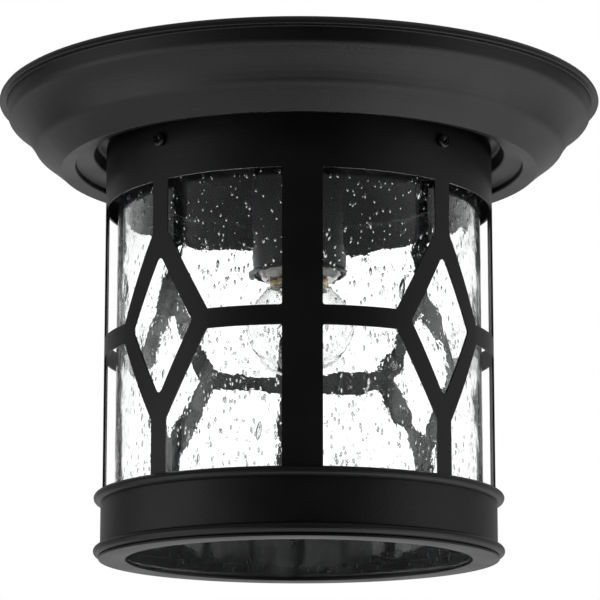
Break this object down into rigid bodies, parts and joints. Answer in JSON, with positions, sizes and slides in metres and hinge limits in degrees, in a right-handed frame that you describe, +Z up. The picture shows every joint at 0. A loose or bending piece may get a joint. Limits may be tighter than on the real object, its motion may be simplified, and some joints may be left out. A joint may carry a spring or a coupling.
{
  "type": "flush ceiling lantern",
  "caption": "Flush porch ceiling lantern: stepped spun canopy, round lattice cage with diamonds, seeded-glass cylinder and a screw-in lamp.",
  "frame": {"origin": "middle of the ceiling plane, on the lantern's axis, between the two crossbar slots", "axes": "+Z up into the ceiling, -Y towards the front of the picture, +X to its right"},
  "size_m": [0.3048, 0.3048, 0.2359],
  "materials": {
    "black_powder_coat": "satin black powder coat with a fine orange-peel texture",
    "black_fastener": "black coated steel, semi-gloss",
    "zinc_plated_steel": "bright zinc plate",
    "green_fastener": "green coated steel",
    "brass": "bare pressed brass sheet",
    "solder": "dull solder",
    "wire_steel": "plain drawn wire",
    "tungsten": "dark drawn filament wire",
    "seeded_glass": "clear hand-blown look with seeds and slight waves",
    "lamp_glass": "thin clear glass",
    "black_glass": "glossy black glass insulator",
    "white_porcelain": "white glazed porcelain",
    "white_nylon": "natural moulded nylon",
    "black_insulation": "smooth flexible insulation",
    "white_insulation": "smooth flexible insulation",
    "black_foam": "closed-cell foam"
  },
  "bodies": {
    "fixture": {"canopy": "black_powder_coat", "rim_gasket": "black_foam", "cage_holder": "black_powder_coat", "crossbar": "zinc_plated_steel", "canopy_screws": "zinc_plated_steel", "crossbar_nuts": "zinc_plated_steel", "cap_nuts": "black_fastener", "ground_screw": "green_fastener", "nipple": "zinc_plated_steel", "nipple_nuts": "zinc_plated_steel", "nipple_washer": "zinc_plated_steel", "wire_bushing": "white_nylon", "socket_cup": "black_powder_coat", "lampholder_body": "white_porcelain", "lampholder_bracket": "zinc_plated_steel", "bracket_screws": "zinc_plated_steel", "socket_shell": "brass", "centre_contact": "brass", "terminal_block": "white_nylon", "terminal_screws": "zinc_plated_steel", "live_lead": "black_insulation", "neutral_lead": "white_insulation", "cage": "black_powder_coat", "cage_screws": "black_fastener", "glass_cylinder": "seeded_glass", "glass_gasket": "black_foam", "base_ring": "black_powder_coat", "seat_ring": "black_powder_coat"},
    "lamp_tip": {"bulb_insulator": "black_glass", "bulb_contact": "solder"},
    "lamp": {"bulb_globe": "lamp_glass", "bulb_stem": "lamp_glass", "bulb_lead_wires": "wire_steel", "bulb_filament": "tungsten", "bulb_shell": "brass"}
  },
  "joints": [
    {"name": "lamp_travel", "type": "slide", "parent": "fixture", "child": "lamp_tip", "axis": [0, 0, -1], "range_m": [0, 0.0109]},
    {"name": "lamp_turn", "type": "hinge", "parent": "lamp_tip", "child": "lamp", "pos_m": [0, 0, -0.08], "axis": [0, 0, -1], "range_deg": [0, 1080]}
  ],
  "couplings": [
    {"joint": "lamp_travel", "follows": "lamp_turn", "m_per_rad": 0.00057757}
  ]
}
